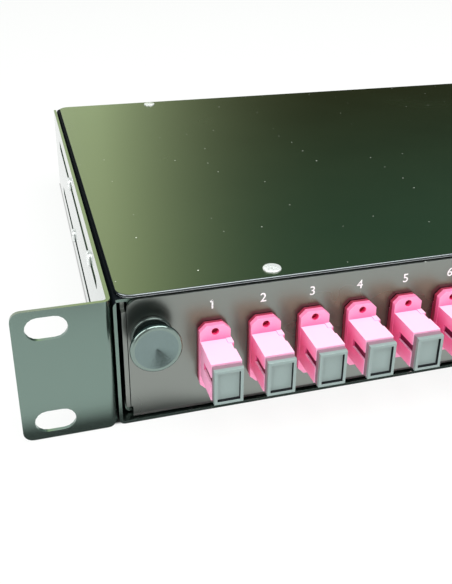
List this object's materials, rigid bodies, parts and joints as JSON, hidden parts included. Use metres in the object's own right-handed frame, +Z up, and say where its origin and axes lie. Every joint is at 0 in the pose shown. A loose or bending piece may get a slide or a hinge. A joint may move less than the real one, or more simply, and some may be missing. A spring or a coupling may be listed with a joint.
{
  "type": "fibre patch panel",
  "caption": "Slide-out one-unit rack fibre patch panel with pink adapters, dust caps, pull latches, folded ears and a screwed lid.",
  "frame": {"origin": "centre of the bounding box at the level of the case's base", "axes": "+X across the rack to the right as seen from the front, +Y towards the rear, +Z up"},
  "size_m": [0.4826, 0.2378, 0.0442],
  "materials": {
    "black_paint": "semi-gloss black paint on folded sheet steel",
    "drawer_paint": "semi-gloss black paint on folded sheet steel",
    "pink_plastic": "moulded pink plastic with a soft gloss",
    "cap_plastic": "moulded dark grey plastic",
    "knob_plastic": "moulded black plastic with a soft gloss",
    "bush_plastic": "moulded black plastic",
    "cassette_plastic": "moulded light grey plastic",
    "grommet_rubber": "black rubber"
  },
  "bodies": {
    "case": {"case_shell": "black_paint", "lid": "black_paint", "ear_bracket_left": "black_paint", "ear_bracket_right": "black_paint", "cable_grommet_left": "grommet_rubber", "cable_grommet_right": "grommet_rubber"},
    "drawer": {"drawer_tray": "drawer_paint", "splice_cassette": "cassette_plastic", "latch_bush_left": "bush_plastic", "latch_bush_right": "bush_plastic", "adapter_01": "pink_plastic", "adapter_02": "pink_plastic", "adapter_03": "pink_plastic", "adapter_04": "pink_plastic", "adapter_05": "pink_plastic", "adapter_06": "pink_plastic", "adapter_07": "pink_plastic", "adapter_08": "pink_plastic", "adapter_09": "pink_plastic", "adapter_10": "pink_plastic", "adapter_11": "pink_plastic", "adapter_12": "pink_plastic", "adapter_13": "pink_plastic", "adapter_14": "pink_plastic", "adapter_15": "pink_plastic", "adapter_16": "pink_plastic", "adapter_17": "pink_plastic", "adapter_18": "pink_plastic", "adapter_19": "pink_plastic", "adapter_20": "pink_plastic", "adapter_21": "pink_plastic", "adapter_22": "pink_plastic", "adapter_23": "pink_plastic", "adapter_24": "pink_plastic"},
    "knob_left": {"knob_left": "knob_plastic"},
    "knob_right": {"knob_right": "knob_plastic"},
    "dust_cap_01": {"dust_cap_01": "cap_plastic"},
    "dust_cap_02": {"dust_cap_02": "cap_plastic"},
    "dust_cap_03": {"dust_cap_03": "cap_plastic"},
    "dust_cap_04": {"dust_cap_04": "cap_plastic"},
    "dust_cap_05": {"dust_cap_05": "cap_plastic"},
    "dust_cap_06": {"dust_cap_06": "cap_plastic"},
    "dust_cap_07": {"dust_cap_07": "cap_plastic"},
    "dust_cap_08": {"dust_cap_08": "cap_plastic"},
    "dust_cap_09": {"dust_cap_09": "cap_plastic"},
    "dust_cap_10": {"dust_cap_10": "cap_plastic"},
    "dust_cap_11": {"dust_cap_11": "cap_plastic"},
    "dust_cap_12": {"dust_cap_12": "cap_plastic"},
    "dust_cap_13": {"dust_cap_13": "cap_plastic"},
    "dust_cap_14": {"dust_cap_14": "cap_plastic"},
    "dust_cap_15": {"dust_cap_15": "cap_plastic"},
    "dust_cap_16": {"dust_cap_16": "cap_plastic"},
    "dust_cap_17": {"dust_cap_17": "cap_plastic"},
    "dust_cap_18": {"dust_cap_18": "cap_plastic"},
    "dust_cap_19": {"dust_cap_19": "cap_plastic"},
    "dust_cap_20": {"dust_cap_20": "cap_plastic"},
    "dust_cap_21": {"dust_cap_21": "cap_plastic"},
    "dust_cap_22": {"dust_cap_22": "cap_plastic"},
    "dust_cap_23": {"dust_cap_23": "cap_plastic"},
    "dust_cap_24": {"dust_cap_24": "cap_plastic"}
  },
  "joints": [
    {"name": "drawer_slide", "type": "slide", "parent": "case", "child": "drawer", "axis": [0, -1, 0], "range_m": [0, 0.16]},
    {"name": "knob_left_pull", "type": "slide", "parent": "drawer", "child": "knob_left", "axis": [0, -1, 0], "range_m": [0, 0.006]},
    {"name": "knob_right_pull", "type": "slide", "parent": "drawer", "child": "knob_right", "axis": [0, -1, 0], "range_m": [0, 0.006]},
    {"name": "dust_cap_01_pull", "type": "slide", "parent": "drawer", "child": "dust_cap_01", "axis": [0, -1, 0], "range_m": [0, 0.012]},
    {"name": "dust_cap_02_pull", "type": "slide", "parent": "drawer", "child": "dust_cap_02", "axis": [0, -1, 0], "range_m": [0, 0.012]},
    {"name": "dust_cap_03_pull", "type": "slide", "parent": "drawer", "child": "dust_cap_03", "axis": [0, -1, 0], "range_m": [0, 0.012]},
    {"name": "dust_cap_04_pull", "type": "slide", "parent": "drawer", "child": "dust_cap_04", "axis": [0, -1, 0], "range_m": [0, 0.012]},
    {"name": "dust_cap_05_pull", "type": "slide", "parent": "drawer", "child": "dust_cap_05", "axis": [0, -1, 0], "range_m": [0, 0.012]},
    {"name": "dust_cap_06_pull", "type": "slide", "parent": "drawer", "child": "dust_cap_06", "axis": [0, -1, 0], "range_m": [0, 0.012]},
    {"name": "dust_cap_07_pull", "type": "slide", "parent": "drawer", "child": "dust_cap_07", "axis": [0, -1, 0], "range_m": [0, 0.012]},
    {"name": "dust_cap_08_pull", "type": "slide", "parent": "drawer", "child": "dust_cap_08", "axis": [0, -1, 0], "range_m": [0, 0.012]},
    {"name": "dust_cap_09_pull", "type": "slide", "parent": "drawer", "child": "dust_cap_09", "axis": [0, -1, 0], "range_m": [0, 0.012]},
    {"name": "dust_cap_10_pull", "type": "slide", "parent": "drawer", "child": "dust_cap_10", "axis": [0, -1, 0], "range_m": [0, 0.012]},
    {"name": "dust_cap_11_pull", "type": "slide", "parent": "drawer", "child": "dust_cap_11", "axis": [0, -1, 0], "range_m": [0, 0.012]},
    {"name": "dust_cap_12_pull", "type": "slide", "parent": "drawer", "child": "dust_cap_12", "axis": [0, -1, 0], "range_m": [0, 0.012]},
    {"name": "dust_cap_13_pull", "type": "slide", "parent": "drawer", "child": "dust_cap_13", "axis": [0, -1, 0], "range_m": [0, 0.012]},
    {"name": "dust_cap_14_pull", "type": "slide", "parent": "drawer", "child": "dust_cap_14", "axis": [0, -1, 0], "range_m": [0, 0.012]},
    {"name": "dust_cap_15_pull", "type": "slide", "parent": "drawer", "child": "dust_cap_15", "axis": [0, -1, 0], "range_m": [0, 0.012]},
    {"name": "dust_cap_16_pull", "type": "slide", "parent": "drawer", "child": "dust_cap_16", "axis": [0, -1, 0], "range_m": [0, 0.012]},
    {"name": "dust_cap_17_pull", "type": "slide", "parent": "drawer", "child": "dust_cap_17", "axis": [0, -1, 0], "range_m": [0, 0.012]},
    {"name": "dust_cap_18_pull", "type": "slide", "parent": "drawer", "child": "dust_cap_18", "axis": [0, -1, 0], "range_m": [0, 0.012]},
    {"name": "dust_cap_19_pull", "type": "slide", "parent": "drawer", "child": "dust_cap_19", "axis": [0, -1, 0], "range_m": [0, 0.012]},
    {"name": "dust_cap_20_pull", "type": "slide", "parent": "drawer", "child": "dust_cap_20", "axis": [0, -1, 0], "range_m": [0, 0.012]},
    {"name": "dust_cap_21_pull", "type": "slide", "parent": "drawer", "child": "dust_cap_21", "axis": [0, -1, 0], "range_m": [0, 0.012]},
    {"name": "dust_cap_22_pull", "type": "slide", "parent": "drawer", "child": "dust_cap_22", "axis": [0, -1, 0], "range_m": [0, 0.012]},
    {"name": "dust_cap_23_pull", "type": "slide", "parent": "drawer", "child": "dust_cap_23", "axis": [0, -1, 0], "range_m": [0, 0.012]},
    {"name": "dust_cap_24_pull", "type": "slide", "parent": "drawer", "child": "dust_cap_24", "axis": [0, -1, 0], "range_m": [0, 0.012]}
  ]
}
